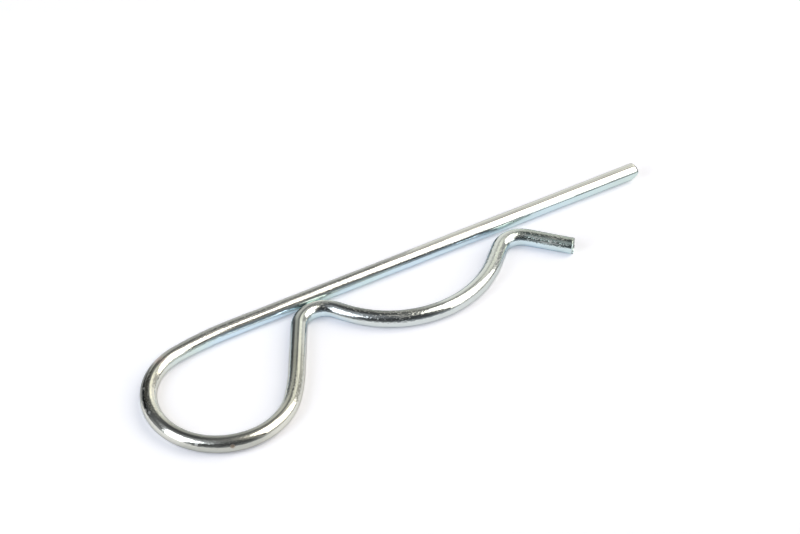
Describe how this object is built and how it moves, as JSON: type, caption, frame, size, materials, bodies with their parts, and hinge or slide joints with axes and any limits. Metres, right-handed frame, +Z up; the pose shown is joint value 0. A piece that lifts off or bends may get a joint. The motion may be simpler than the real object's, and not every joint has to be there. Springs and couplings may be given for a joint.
{
  "type": "hitch pin clip",
  "caption": "R-shaped spring wire clip: a straight leg for the cross hole of a hitch pin, a wavy leg that snaps round the pin, and a round eye to pull it by.",
  "frame": {"origin": "centre of the shaft that the clip holds: on the axis of the straight leg, above the lowest point of the belly, halfway up the wire", "axes": "+X along the straight leg towards its tip, +Y from the wavy leg towards the straight leg, +Z up, square to the plane that the wire is bent in"},
  "size_m": [0.138, 0.0364, 0.004],
  "materials": {
    "zinc_plated_wire": "bright zinc plating over drawn spring wire, with fine lengthwise drawing lines"
  },
  "bodies": {
    "root": {"clip": "zinc_plated_wire"}
  },
  "joints": []
}
